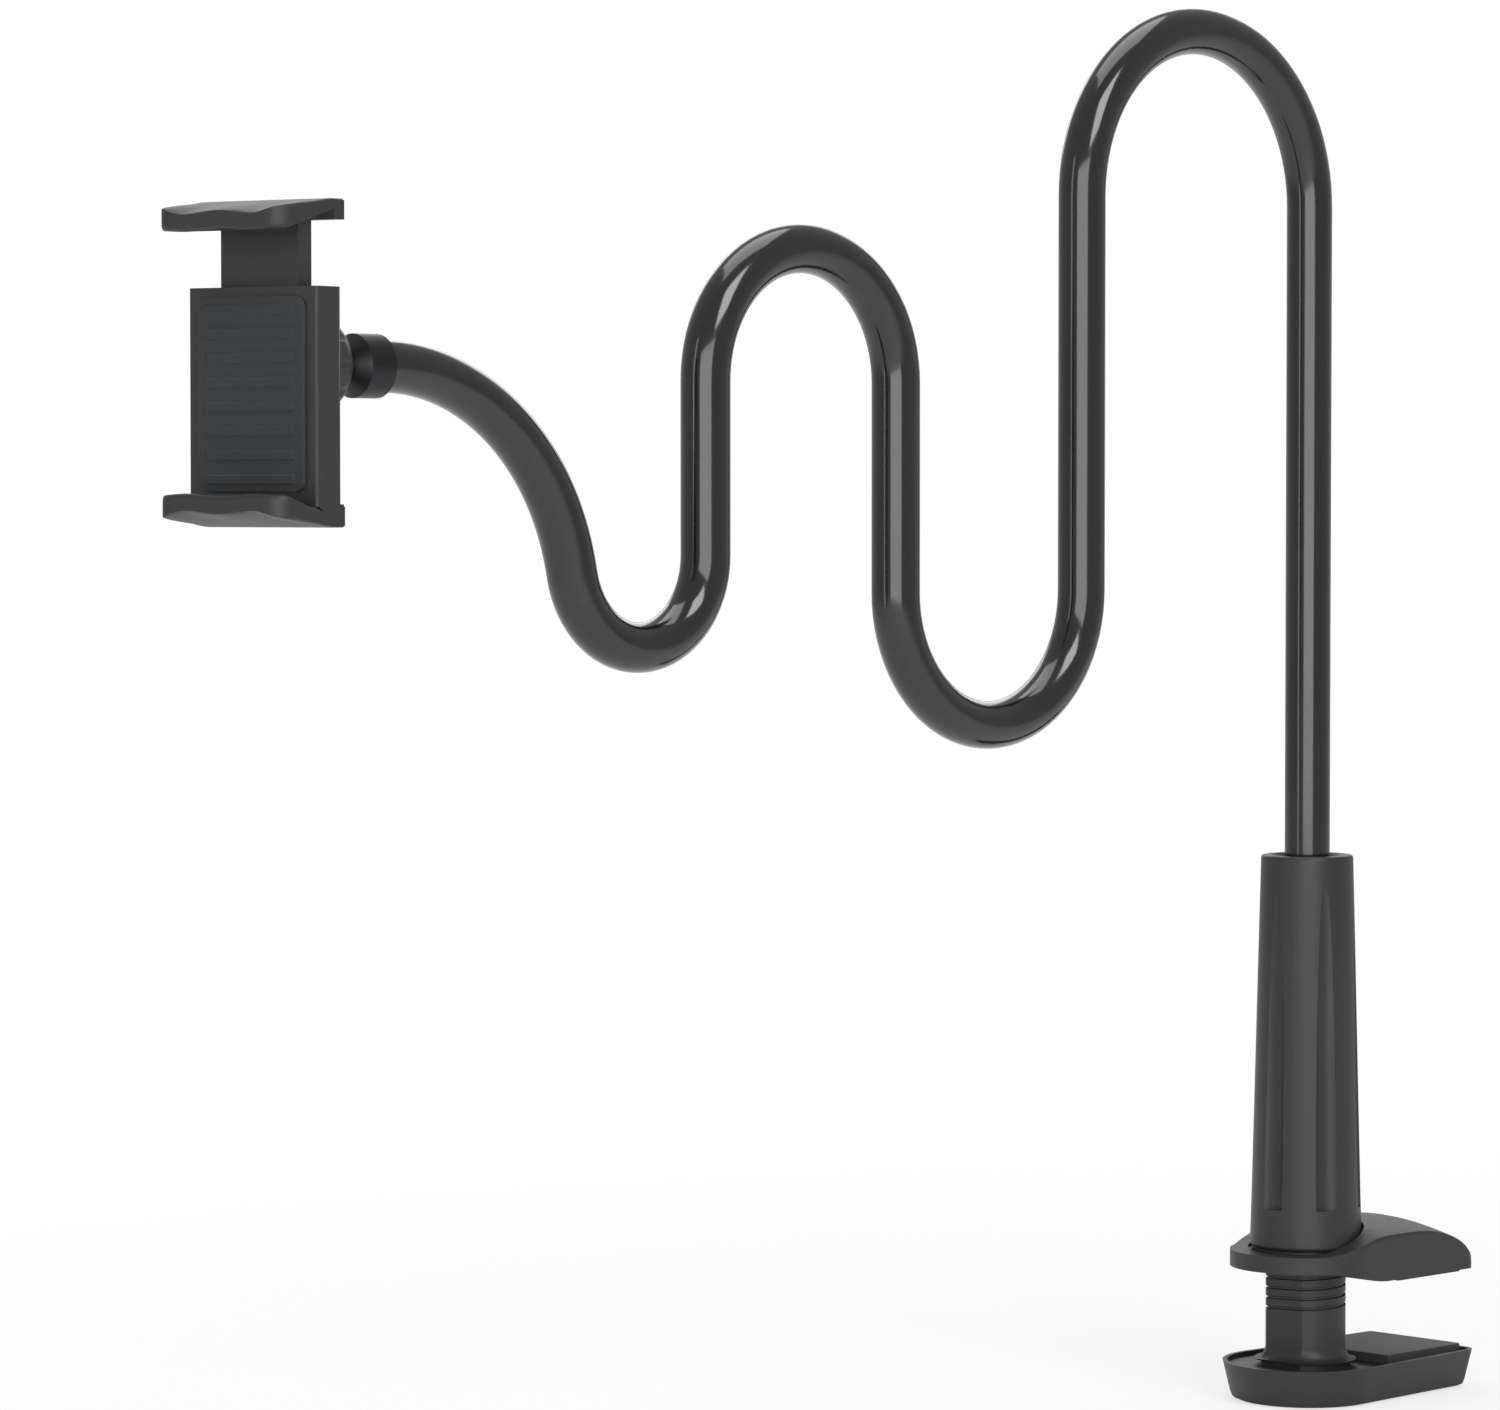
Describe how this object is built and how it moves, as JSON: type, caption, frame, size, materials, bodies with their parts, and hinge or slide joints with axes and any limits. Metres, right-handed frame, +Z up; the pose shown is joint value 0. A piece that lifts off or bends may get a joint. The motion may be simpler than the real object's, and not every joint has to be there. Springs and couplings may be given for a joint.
{
  "type": "phone holder arm",
  "caption": "Bendable gooseneck desk arm with a screw clamp at its foot and a spring-loaded phone cradle on a ball joint",
  "frame": {"origin": "on the mast's axis, in the plane of the desk's top face under the upper jaw's pad", "axes": "+Z up the mast; the clamp's jaws reach along +Y over the desk; the arm reaches along -Y to the cradle"},
  "size_m": [0.0514, 0.4828, 0.4137],
  "materials": {
    "moulding": "fine matte grain",
    "grip": "fine matte grain",
    "sleeve": "glossy black tube",
    "rubber": "matt",
    "aluminium": "drawn",
    "steel": "plain",
    "dark_steel": "blackened",
    "brass": "plain",
    "nylon": "smooth"
  },
  "bodies": {
    "upper_clamp": {"upper_jaw": "moulding", "upper_pad": "rubber"},
    "grip": {"grip": "grip", "thread_insert": "brass", "snap_ring": "steel", "thrust_washer": "moulding"},
    "post": {"screw_post": "moulding", "lower_jaw": "moulding", "lower_pad": "rubber", "post_screw": "steel", "neck_set_screws": "dark_steel", "neck_core": "aluminium", "neck_sleeve": "sleeve"},
    "neck_end": {"neck_ferrule": "dark_steel", "ball_stud": "steel"},
    "ball_liner": {"ball_liner": "nylon"},
    "lock_nut": {"lock_nut": "moulding"},
    "cradle": {"cradle_housing": "moulding", "cradle_cover": "moulding", "cover_screws": "steel", "cradle_pad": "rubber", "lower_hook_pad": "rubber", "left_spring": "steel", "right_spring": "steel"},
    "sliding_jaw": {"sliding_jaw": "moulding", "upper_hook_pad": "rubber"}
  },
  "joints": [
    {"name": "clamp_slide", "type": "slide", "parent": "upper_clamp", "child": "post", "axis": [0, 0, 1], "range_m": [-0.048, 0.018]},
    {"name": "grip_turn", "type": "hinge", "parent": "upper_clamp", "child": "grip", "pos_m": [0, 0, 0.01], "axis": [0, 0, 1], "range_deg": [-2161, 5761]},
    {"name": "neck_swing", "type": "hinge", "parent": "post", "child": "neck_end", "pos_m": [0, 0, 0.322], "axis": [0, 0, 1], "range_deg": [-30, 30], "deforming": ["neck_sleeve", "neck_core"]},
    {"name": "ball_pan", "type": "hinge", "parent": "neck_end", "child": "ball_liner", "pos_m": [0, -0.38994, 0.26964], "axis": [0, 0, 1], "range_deg": [-44, 16]},
    {"name": "ball_tilt", "type": "hinge", "parent": "ball_liner", "child": "lock_nut", "pos_m": [0, -0.38994, 0.26964], "axis": [0.9703, 0.2419, 0], "range_deg": [-30, 30]},
    {"name": "cradle_spin", "type": "hinge", "parent": "lock_nut", "child": "cradle", "pos_m": [0, -0.38994, 0.26964], "axis": [0.2419, -0.9703, 0], "continuous": true},
    {"name": "jaw_slide", "type": "slide", "parent": "cradle", "child": "sliding_jaw", "axis": [0, 0, 1], "range_m": [-0.0165, 0.014], "stiffness_N_per_m": 150, "springref_m": -0.03, "deforming": ["left_spring", "right_spring"]}
  ],
  "couplings": [
    {"joint": "grip_turn", "follows": "clamp_slide", "rad_per_m": -2094.4}
  ]
}
